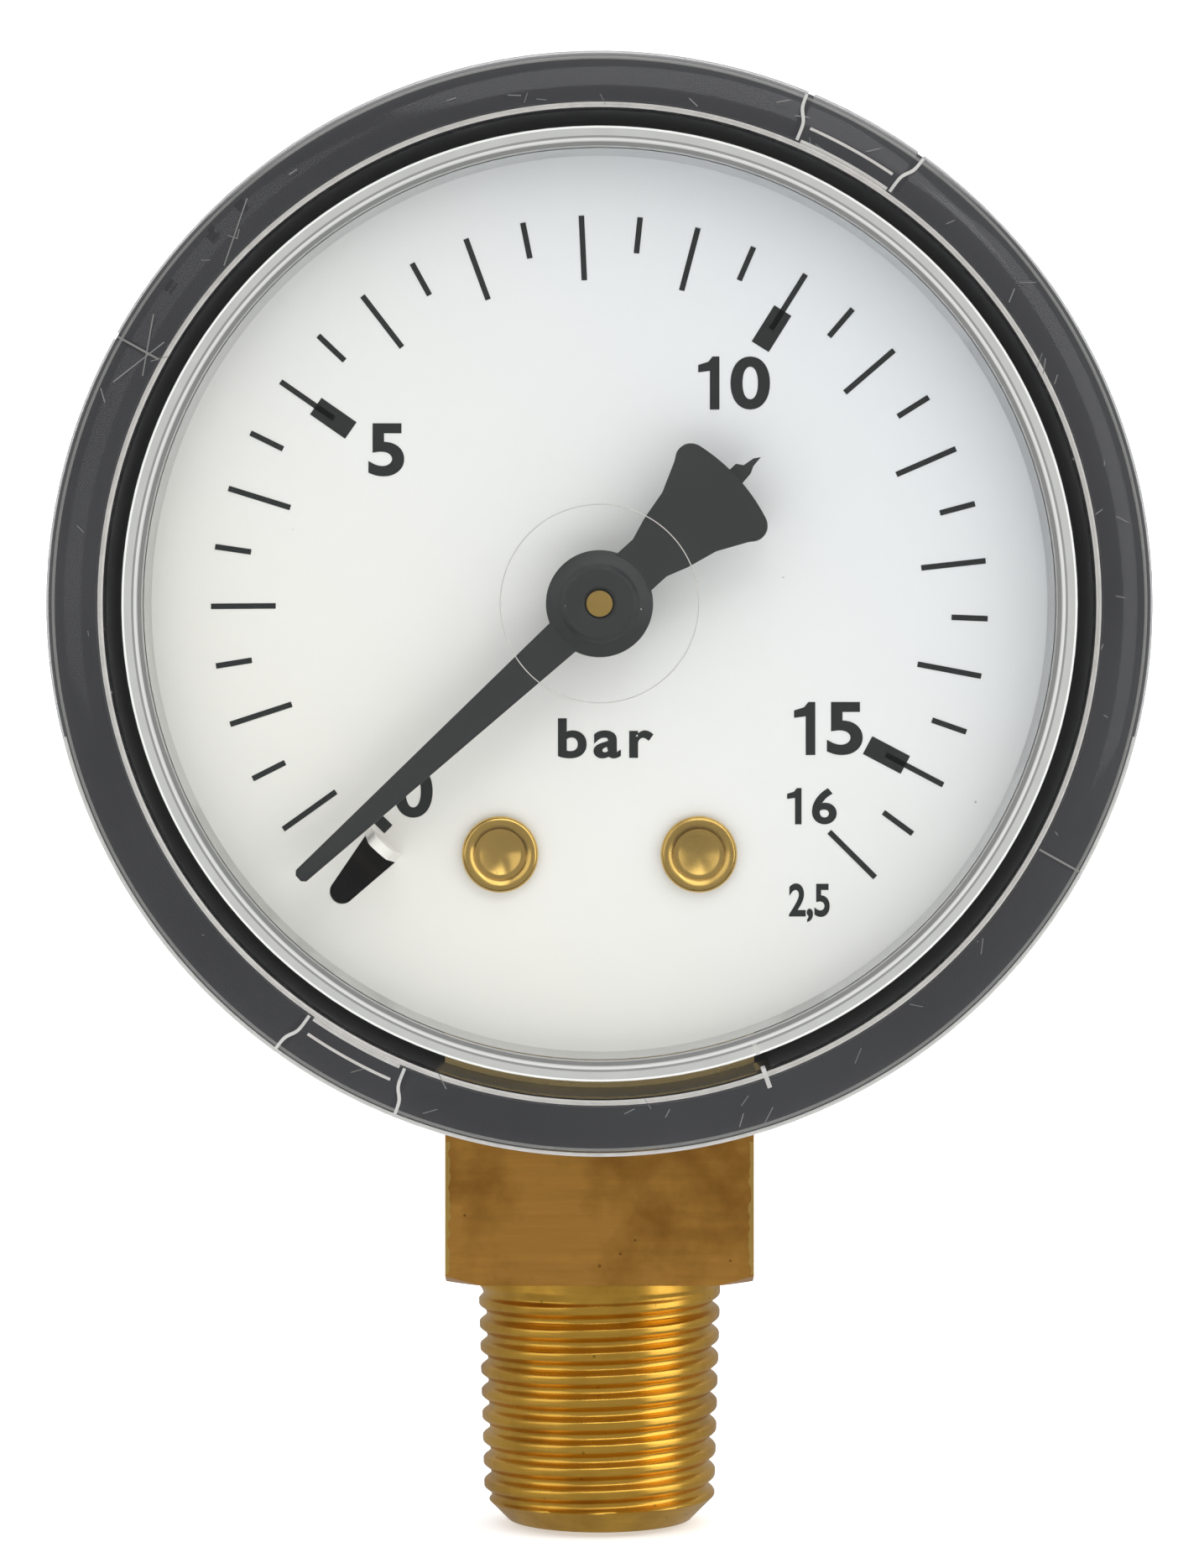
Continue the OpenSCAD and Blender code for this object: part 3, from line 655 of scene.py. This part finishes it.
def scale_tree():
    """Marks at even steps of a share of the scale, each one a thin block on the dial."""
    tree = bpy.data.node_groups.new("scale_marks", "GeometryNodeTree")
    sockets = (
        ("Count", "NodeSocketInt"), ("First", "NodeSocketFloat"), ("Step", "NodeSocketFloat"),
        ("Start Angle", "NodeSocketFloat"), ("Span", "NodeSocketFloat"), ("Bow", "NodeSocketFloat"),
        ("Inner", "NodeSocketFloat"), ("Outer", "NodeSocketFloat"), ("Width", "NodeSocketFloat"),
        ("Film", "NodeSocketFloat"), ("Ahead", "NodeSocketFloat"), ("Centre Height", "NodeSocketFloat"),
        ("Ink", "NodeSocketMaterial"),
    )
    for name, kind in sockets:
        tree.interface.new_socket(name, in_out="INPUT", socket_type=kind)
    tree.interface.new_socket("Marks", in_out="OUTPUT", socket_type="NodeSocketGeometry")
    source = tree.nodes.new("NodeGroupInput").outputs

    def node(kind, settings=None, inputs=None):
        made = tree.nodes.new(kind)
        for key, value in (settings or {}).items():
            setattr(made, key, value)
        for key, value in (inputs or {}).items():
            if isinstance(value, bpy.types.NodeSocket):
                tree.links.new(value, made.inputs[key])
            else:
                made.inputs[key].default_value = value
        return made

    def sum_of(operation, first, second=0.0):
        return node("ShaderNodeMath", {"operation": operation}, {0: first, 1: second}).outputs[0]

    index = node("GeometryNodeInputIndex").outputs[0]
    share = sum_of("ADD", sum_of("MULTIPLY", index, source["Step"]), source["First"])
    hump = sum_of("MULTIPLY", sum_of("MULTIPLY", share, sum_of("SUBTRACT", 1.0, share)), 4.0)
    turn = sum_of("ADD", source["Start Angle"], sum_of("MULTIPLY", share, source["Span"]))
    turn = sum_of("ADD", turn, sum_of("MULTIPLY", hump, source["Bow"]))
    middle = sum_of("MULTIPLY", sum_of("ADD", source["Inner"], source["Outer"]), 0.5)
    x = sum_of("MULTIPLY", sum_of("SINE", turn), middle)
    z = sum_of("ADD", sum_of("MULTIPLY", sum_of("COSINE", turn), middle), source["Centre Height"])
    place = node("ShaderNodeCombineXYZ", None, {0: x, 1: sum_of("MULTIPLY", source["Ahead"], -1.0), 2: z})
    row = node("GeometryNodeMeshLine", None, {"Count": source["Count"]})
    points = node("GeometryNodeSetPosition", None, {"Geometry": row.outputs[0], "Position": place.outputs[0]})
    tall = sum_of("SUBTRACT", source["Outer"], source["Inner"])
    size = node("ShaderNodeCombineXYZ", None, {0: source["Width"], 1: source["Film"], 2: tall})
    block = node("GeometryNodeMeshCube", None, {"Size": size.outputs[0]})
    spin = node("ShaderNodeCombineXYZ", None, {1: turn})
    marks = node(
        "GeometryNodeInstanceOnPoints",
        None,
        {"Points": points.outputs[0], "Instance": block.outputs[0], "Rotation": spin.outputs[0]},
    )
    real = node("GeometryNodeRealizeInstances", None, {0: marks.outputs[0]})
    inked = node("GeometryNodeSetMaterial", None, {"Geometry": real.outputs[0], "Material": source["Ink"]})
    sink = tree.nodes.new("NodeGroupOutput")
    tree.links.new(inked.outputs[0], sink.inputs[0])
    return tree


class GAUGE_OT_scale(bpy.types.Operator):
    """Prints the scale: whole marks, half marks, main blocks and plain numbers"""
    bl_idname = "gauge.scale"
    bl_label = "Print the scale"

    def execute(self, context):
        s = context.scene.gauge_scale
        tree = scale_tree()
        part = 1 / 14
        between = (s.angle_of_one + s.angle_of_two) / 2
        zero, zero_end, zero_width = math.radians(-135.6), s.block_inner + 0.45 * MM, s.block_width * 0.7
        arc = (s.angle_of_two, s.span, s.bow)
        block = (s.block_inner, s.block_outer, s.block_width)
        rows = (
            ("marks_whole", 15, 0, part, *arc, s.long_inner, s.outer, s.stroke),
            ("marks_half", 14, part / 2, part, *arc, s.short_inner, s.outer, s.stroke),
            ("marks_main", 3, 3 * part, 5 * part, *arc, *block),
            ("mark_one", 1, 0, 1, s.angle_of_one, 0, 0, s.long_inner, s.outer, s.stroke),
            ("mark_one_half", 1, 0, 1, between, 0, 0, s.short_inner, s.outer, s.stroke),
            ("mark_zero", 1, 0, 1, zero, 0, 0, s.block_inner, zero_end, zero_width),
        )
        for name, *values in rows:
            self.marks(tree, name, s, values)
        for name, text, x, z, tall, squeeze, gap in (
            ("number_0", "0", -7.19, -7.24, 2.05, 1.12, 1.0),
            ("number_5", "5", -8.23, 5.94, 2.05, 1.14, 1.0),
            ("number_10", "0", 5.82, 8.52, 2.05, 1.14, 1.0),
            ("number_15", "5", 9.47, -4.82, 2.05, 1.14, 1.0),
            ("number_16", "6", 8.68, -7.82, 1.4, 1.1, 1.0),
            ("unit_bar", "bar", 0.24, -5.2, 1.55, 1.16, 1.2),
            ("class_number", "2,5", 8.1, -11.55, 1.5, 0.78, 1.0),
        ):
            self.number(s, name, text, x * MM, z * MM, tall * MM, squeeze, gap)
        for name, x, z, tall in (
            ("number_10_one", 4.22, 8.52, 2.05),
            ("number_15_one", 7.92, -4.82, 2.05),
            ("number_16_one", 7.52, -7.82, 1.4),
        ):
            self.one(s, name, x * MM, z * MM, tall * MM)
        return {"FINISHED"}

    def marks(self, tree, name, s, values):
        obj = bpy.data.objects.new(name, bpy.data.meshes.new(name))
        bpy.context.scene.collection.objects.link(obj)
        modifier = obj.modifiers.new("marks", "NODES")
        modifier.node_group = tree
        values = [*values, s.film, DIAL_FRONT + s.film / 2 + 0.002 * MM, DIAL_Z, finishes()["dial_ink"]]
        names = [item for item in tree.interface.items_tree if item.in_out == "INPUT"]
        for item, value in zip(names, values):
            modifier[item.identifier] = int(value) if item.name == "Count" else value
        apply_modifiers(obj)
        dress(obj, "dial_ink", "root", 0)

    def one(self, s, name, x, z, tall):
        """A plain 1 with a flag."""
        stem = [(0.02, -0.5), (0.2, -0.5), (0.2, 0.5), (0.07, 0.5)]
        flag = [(-0.01, 0.4), (-0.2, 0.34), (-0.2, 0.2), (0.02, 0.23)]
        bm = bmesh.new()
        outline = [(x + u * tall, z + v * tall) for u, v in stem + flag]
        prism(bm, outline, DIAL_FRONT + 0.002 * MM, DIAL_FRONT + 0.002 * MM + s.film)
        piece(name, bm, "dial_ink", "root", 0)

    def number(self, s, name, text, x, z, tall, squeeze, gap):
        curve = bpy.data.curves.new(name, "FONT")
        curve.body = text
        curve.align_x = "CENTER"
        curve.align_y = "CENTER"
        curve.space_character = gap
        curve.offset = 0.026
        curve.extrude = 0.5
        curve.resolution_u = 8
        obj = bpy.data.objects.new(name, curve)
        bpy.context.scene.collection.objects.link(obj)
        mesh = bpy.data.meshes.new_from_object(obj.evaluated_get(bpy.context.evaluated_depsgraph_get()))
        bpy.data.objects.remove(obj)
        places = np.array([v.co for v in mesh.vertices])
        low, high = places.min(0), places.max(0)
        grow = tall / (high[1] - low[1])
        middle = (low + high) / 2
        for v in mesh.vertices:
            v.co = ahead(
                x + (v.co.x - middle[0]) * grow * squeeze,
                z + (v.co.y - middle[1]) * grow,
                DIAL_FRONT + 0.002 * MM + s.film * (v.co.z + 0.5),
            )
        printed = bpy.data.objects.new(name, mesh)
        bpy.context.scene.collection.objects.link(printed)
        dress(printed, "dial_ink", "root", 0)


class GAUGE_OT_rivets(bpy.types.Operator):
    """Builds the two rolled rivet heads that hold the dial"""
    bl_idname = "gauge.rivets"
    bl_label = "Build the rivets"

    def execute(self, context):
        low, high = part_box("dial_rivets")
        middle_z = (low[2] + high[2]) / 2 - DIAL_Z
        half = (high[2] - low[2]) / 2
        front = -low[1]
        back = -high[1]
        bm = bmesh.new()
        for x in (low[0] + half, high[0] - half):
            roll = [
                (half * (0.86 + 0.14 * math.cos(a)), front - 0.2 * MM + 0.2 * MM * math.sin(a))
                for a in np.linspace(-math.pi / 2, math.pi * 0.6, 12)
            ]
            dimple = [
                (half * 0.70, front - 0.10 * MM), (half * 0.66, front - 0.17 * MM),
                (half * 0.58, front - 0.15 * MM), (half * 0.52, front - 0.19 * MM),
                (half * 0.12, front - 0.44 * MM), (0.01 * MM, front - 0.46 * MM),
            ]
            shank = [(0.01 * MM, back), (half * 0.62, back), (half * 0.62, DIAL_FRONT)]
            lathe(bm, roll + dimple + shank, 72, (x, middle_z))
        obj = piece("rivet_heads", bm, "rivet_brass", "root", 40)
        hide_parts("dial_rivets")
        return {"FINISHED"}


# ---------------------------------------------------------------- pointer

class GAUGE_OT_pointer(bpy.types.Operator):
    """Moulds the pointer: tapered arm, hub with a raised middle, and a fan-shaped tail"""
    bl_idname = "gauge.pointer"
    bl_label = "Mould the pointer"

    def execute(self, context):
        s = context.scene.gauge_pointer
        cad = frame["nodes"]["pointer"].data
        tip = max((v.co for v in cad.vertices), key=lambda c: math.hypot(c.x, c.z - DIAL_Z))
        turn = math.atan2(tip.x, tip.z - DIAL_Z)
        low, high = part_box("pointer")
        front, back = -low[1], -high[1]
        bm = bmesh.new()
        prism(bm, [self.turned(p, turn) for p in self.arm(s)], back + 0.1 * MM, back + 0.8 * MM)
        bmesh.ops.bevel(
            bm,
            geom=[e for e in bm.edges if all(v.co.y < -(back + 0.7 * MM) for v in e.verts)],
            offset=0.16 * MM, segments=3, profile=0.6, affect="EDGES",
        )
        prism(bm, [self.turned(p, turn) for p in self.gate(s)], back + 0.1 * MM, back + 0.5 * MM)
        hub = [
            (0.56 * MM, back), (s.hub, back),
            (s.hub, front - 0.62 * MM), (s.hub - 0.12 * MM, front - 0.5 * MM),
            (s.plateau + 0.12 * MM, front - 0.3 * MM), (s.plateau, front - 0.06 * MM),
            (s.plateau - 0.08 * MM, front), (0.66 * MM, front), (0.56 * MM, front - 0.1 * MM),
        ]
        lathe(bm, hub, 96)
        obj = piece("pointer_moulding", bm, "pointer_plastic", "pointer", 32)
        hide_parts("pointer")
        return {"FINISHED"}

    def turned(self, place, turn):
        x, z = place
        return x * math.cos(turn) + z * math.sin(turn), z * math.cos(turn) - x * math.sin(turn)

    def gate(self, s):
        """The torn-off sprue that stands out from the middle of the tail's edge."""
        outline = (
            (0.42, -0.3), (0.44, 0.32), (0.2, 0.5), (0.14, 0.95),
            (-0.02, 1.2), (-0.08, 0.75), (-0.22, 0.48), (-0.32, -0.3),
        )
        return [(x * MM, -s.tail - out * MM) for x, out in outline]

    def arm(self, s):
        """The outline with the arm along +Z: down the right side, round the tail, up the left."""
        fan = [
            (s.tail * math.sin(a), -s.tail * math.cos(a))
            for a in np.linspace(s.tail_half * 0.74, -s.tail_half * 0.74, 17)
        ]
        bend = 0.6 * MM
        corner_turn = s.tail_half - bend / s.tail
        middle = (s.tail - bend) * math.sin(corner_turn), -(s.tail - bend) * math.cos(corner_turn)
        corner = [
            (middle[0] + bend * math.cos(a), middle[1] + bend * math.sin(a))
            for a in np.linspace(math.radians(26), math.radians(-70), 10)
        ]
        right = [
            (s.tip_half * 0.5, s.reach), (s.tip_half, s.reach - 0.15 * MM),
            (s.root_half, s.hub * 0.9), (s.neck_half, -s.hub * 0.9), (s.neck_half, -2.6 * MM),
            (1.1 * MM, -3.5 * MM), (1.53 * MM, -4.65 * MM), (2.1 * MM, -5.8 * MM), *corner,
        ]
        left = [(-x, z) for x, z in reversed(right)]
        return right + fan + left


# ---------------------------------------------------------------- window edges

class GAUGE_OT_window_edges(bpy.types.Operator):
    """Builds what shows on the clear window: edge lines, locating ring, slits, rib and gate mark"""
    bl_idname = "gauge.window_edges"
    bl_label = "Build the window's edges"

    def execute(self, context):
        self.rings()
        self.slits()
        self.scratches()
        return {"FINISHED"}

    def rings(self):
        self.rim_lining()
        # Painted highlights: thin pale lines where the clear window's edges and gate mark catch the light;
        # the rim's outer line is a dimmer one.
        for name, inner, outer, back, front, finish in (
            ("rim_inner_line", 18.73, 18.92, PANE_FRONT - 0.1 * MM, PANE_FRONT + 0.1 * MM, "edge_light"),
            ("rim_outer_line", 20.56, 20.70, PANE_FRONT - 1.0 * MM, PANE_FRONT - 0.42 * MM, "edge_grey"),
            ("gate_line", 3.72, 3.76, PANE_FRONT - 0.03 * MM, PANE_FRONT + 0.004 * MM, "edge_light"),
        ):
            bm = bmesh.new()
            lathe(bm, bead(inner * MM, outer * MM, back, front), 240)
            lets_light_by(piece(name, bm, finish, "root", 60))
        # Painted highlight: a pale line along the lower half of the clear skirt's outer edge, where it
        # catches the light.
        bm = bmesh.new()
        lower = [math.radians(a) for a in np.linspace(104, 256, 90)]
        level = PANE_FRONT - 0.75 * MM
        path_strip(bm, [clock(20.86 * MM, a) for a in lower], 0.13 * MM, level - 0.3 * MM, level)
        lets_light_by(piece("skirt_edge", bm, "frosted_edge", "root", 60))
        bm = bmesh.new()
        ring = [
            (17.40 * MM, PANE_BACK - 0.8 * MM), (18.15 * MM, PANE_BACK - 0.8 * MM),
            (18.15 * MM, PANE_BACK - 0.1 * MM), (17.40 * MM, PANE_BACK - 0.1 * MM),
        ]
        lathe(bm, ring, 240)
        lets_light_by(piece("locating_ring_wall", bm, "locating_ring", "root", 30))

    def rim_lining(self):
        """The black of the case, which fills the rounded rim when seen through it. The rim is
        clear, so the lining stops no light on its way to the dial."""
        outer, inner, bend, wall = 20.93 * MM, 18.95 * MM, 1.95 * MM, 0.12 * MM
        skirt_back = -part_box("window")[1][1] + 0.05 * MM
        level = PANE_FRONT + 0.40 * MM - bend
        arc = np.linspace(0, math.pi / 2, 12)
        skin = [(outer - bend + bend * math.cos(a), level + bend * math.sin(a)) for a in arc]
        under = [
            (outer - bend + (bend - wall) * math.cos(a), level + (bend - wall) * math.sin(a))
            for a in arc[::-1]
        ]
        bm = bmesh.new()
        lathe(
            bm,
            [(outer, skirt_back), *skin, (inner, level + bend), (inner, level), (inner + wall, level),
             (inner + wall, level + bend - 2 * wall), *under, (outer - wall, skirt_back)],
            240,
        )
        lets_light_by(piece("rim_lining", bm, "rim_black", "root", 40))

    def slits(self):
        front = PANE_FRONT + 0.44 * MM
        back = front - 1.2 * MM
        for name, finish, width, places in (
            ("window_slits", "frosted_edge", 0.12, ((22.6, -1), (35.6, 1), (202.3, -1), (215.6, 1))),
            ("window_joints", "edge_grey", 0.08, ((119.2, 0), (299.0, 0))),
        ):
            bm = bmesh.new()
            for degrees, sway in places:
                turn = math.radians(degrees)
                points = []
                for share in np.linspace(0, 1, 13):
                    radius = (18.95 + 1.75 * share) * MM
                    jog = math.radians(0.45) * sway * math.tanh((share - 0.55) * 7)
                    points.append(clock(radius, turn + jog))
                path_strip(bm, points, width * MM, back, front)
            lets_light_by(piece(name, bm, finish, "root", 30))
        # Painted highlights: pale arcs where the edges of the rim's tongues catch the light.
        bm = bmesh.new()
        for middle in (29.1, 208.95):
            for radius, half in ((18.98, 5.6), (19.55, 5.2)):
                turns = [math.radians(middle + half * t) for t in np.linspace(-1, 1, 25)]
                path_strip(bm, [clock(radius * MM, t) for t in turns], 0.1 * MM, back, front)
        lets_light_by(piece("tongue_lines", bm, "edge_light", "root", 30))
        bm = bmesh.new()
        for inner, outer in ((17.65, 17.95), (18.55, 19.3)):
            points = [clock(r * MM, math.radians(160.6)) for r in (inner, outer)]
            path_strip(bm, points, 0.17 * MM, back, front)
        lets_light_by(piece("window_rib", bm, "frosted_edge", "root", 30))

    def scratches(self):
        """Fine handling scratches on the rim, from a fixed seed."""
        draw = random.Random(7)
        bm = bmesh.new()
        for _ in range(46):
            turn = math.radians(draw.uniform(0, 360))
            radius = draw.uniform(19.0, 20.1) * MM
            lean = draw.uniform(-0.5, 0.5) * MM
            run = math.radians(draw.uniform(0.15, 1.5))
            points = [clock(radius + lean * t, turn + run * t) for t in (0, 0.5, 1)]
            level = PANE_FRONT + 0.40 * MM
            path_strip(bm, points, draw.uniform(0.018, 0.045) * MM, level, level + 0.02 * MM)
        long_scratches = (
            ((20.1, 294.5), (19.1, 301)), ((20.0, 303), (19.2, 296.5)), ((20.2, 319), (19.0, 312)),
        )
        for start, end in long_scratches:
            ends = [clock(radius * MM, math.radians(degrees)) for radius, degrees in (start, end)]
            path_strip(bm, ends, 0.045 * MM, level, level + 0.02 * MM)
        lets_light_by(piece("rim_scratches", bm, "edge_grey", "root", 0))
        bm = bmesh.new()
        for degrees, radius in ((318, 20.2), (313.5, 20.1), (306.5, 20.15), (314, 20.3)):
            turn, half = math.radians(degrees), math.radians(draw.uniform(0.3, 0.8))
            points = [clock(radius * MM, turn + half * t) for t in (-1, -0.4, 0.4, 1)]
            path_strip(bm, points, draw.uniform(0.12, 0.3) * MM, level - 0.1 * MM, level + 0.01 * MM)
        lets_light_by(piece("rim_dents", bm, "case_plastic", "root", 0))


# ---------------------------------------------------------------- stage

class GAUGE_OT_stage(bpy.types.Operator):
    """Sets the pale floor, the soft studio lights and the camera"""
    bl_idname = "gauge.stage"
    bl_label = "Set the stage"

    def execute(self, context):
        self.floor(context.scene.gauge_colours.floor)
        self.lights()
        self.camera()
        context.scene.view_settings.view_transform = "Standard"
        return {"FINISHED"}

    def floor(self, base):
        level = CAD_BOX[0][2] - 0.2 * MM
        bend, far, near, wide, tall = 0.12, 0.35, -0.19, 0.7, 0.9
        line = [(near, level), (far, level)]
        for a in np.linspace(0, math.pi / 2, 12)[1:]:
            line.append((far + bend * math.sin(a), level + bend * (1 - math.cos(a))))
        line.append((far + bend, tall))
        bm = bmesh.new()
        edge = [[bm.verts.new((x, y, z)) for y, z in line] for x in (-wide, wide)]
        for i in range(len(line) - 1):
            bm.faces.new((edge[0][i], edge[1][i], edge[1][i + 1], edge[0][i + 1]))
        mesh = bpy.data.meshes.new("floor")
        bm.to_mesh(mesh)
        bm.free()
        mesh.shade_smooth()
        floor = bpy.data.objects.new("floor", mesh)
        bpy.context.scene.collection.objects.link(floor)
        f = Finish("floor_paper")
        tone = f.mix(f.noise(30, 2), shade(base, 0.995), base)
        white = (1, 1, 1, 1)
        paper = f.surface(Base_Color=tone, Roughness=0.9, Emission_Color=white, Emission_Strength=0.45)
        mesh.materials.append(paper)
        floor.visible_glossy = False

    def lights(self):
        world = bpy.data.worlds.new("studio")
        world.use_nodes = True
        nodes, links = world.node_tree.nodes, world.node_tree.links
        backdrop = nodes["Background"]
        backdrop.inputs[0].default_value = (1, 1, 1, 1)
        seen = nodes.new("ShaderNodeLightPath")
        level = nodes.new("ShaderNodeMapRange")
        level.inputs["To Min"].default_value = 0.42
        level.inputs["To Max"].default_value = 1.0
        links.new(seen.outputs["Is Camera Ray"], level.inputs["Value"])
        links.new(level.outputs[0], backdrop.inputs[1])
        bpy.context.scene.world = world
        centre = Vector((0, 0, 0.02))
        for name, place, size, power in (
            ("light_left", (-0.42, -0.28, 0.22), (0.42, 0.60), 0.64),
            ("light_right", (0.45, -0.20, 0.15), (0.34, 0.60), 1.1),
            ("light_top", (0.10, -0.25, 0.50), (0.6, 0.45), 1.6),
            ("light_back", (0.0, 0.28, 0.40), (0.6, 0.3), 0.7),
        ):
            data = bpy.data.lights.new(name, "AREA")
            data.shape = "RECTANGLE"
            data.size, data.size_y = size
            data.energy = power
            lamp = bpy.data.objects.new(name, data)
            lamp.location = place
            lamp.rotation_euler = (centre - Vector(place)).to_track_quat("-Z", "Y").to_euler()
            bpy.context.scene.collection.objects.link(lamp)

    def camera(self):
        data = bpy.data.cameras.new("camera")
        data.lens = 118.8
        data.sensor_width = 36
        data.shift_y = -0.115
        data.clip_start = 0.01
        obj = bpy.data.objects.new("camera", data)
        obj.matrix_world = Matrix.Translation((0, -0.207, DIAL_Z)) @ Matrix.Rotation(math.pi / 2, 4, "X")
        bpy.context.scene.collection.objects.link(obj)
        bpy.context.scene.camera = obj


# ---------------------------------------------------------------- add-on

OPERATORS = (
    GAUGE_OT_kept_parts,
    GAUGE_OT_stem,
    GAUGE_OT_scale,
    GAUGE_OT_rivets,
    GAUGE_OT_pointer,
    GAUGE_OT_window_edges,
    GAUGE_OT_stage,
)


class GAUGE_PT_panel(bpy.types.Panel):
    """Sizes, colours and build steps of the gauge"""
    bl_idname = "GAUGE_PT_panel"
    bl_label = "Pressure Gauge"
    bl_space_type = "VIEW_3D"
    bl_region_type = "UI"
    bl_category = "Gauge"

    def draw(self, context):
        for operator in OPERATORS:
            self.layout.operator(operator.bl_idname)
        for group in GROUPS:
            settings = getattr(context.scene, group)
            for name in GROUPS[group].__annotations__:
                self.layout.prop(settings, name)


def register():
    for cls in (*GROUPS.values(), *OPERATORS, GAUGE_PT_panel):
        bpy.utils.register_class(cls)
    for name, cls in GROUPS.items():
        setattr(bpy.types.Scene, name, bpy.props.PointerProperty(type=cls))


def unregister():
    for name in GROUPS:
        delattr(bpy.types.Scene, name)
    for cls in reversed((*GROUPS.values(), *OPERATORS, GAUGE_PT_panel)):
        bpy.utils.unregister_class(cls)


def main():
    register()
    for operator in OPERATORS:
        group, name = operator.bl_idname.split(".")
        getattr(getattr(bpy.ops, group), name)()


if __name__ == "__main__":
    main()
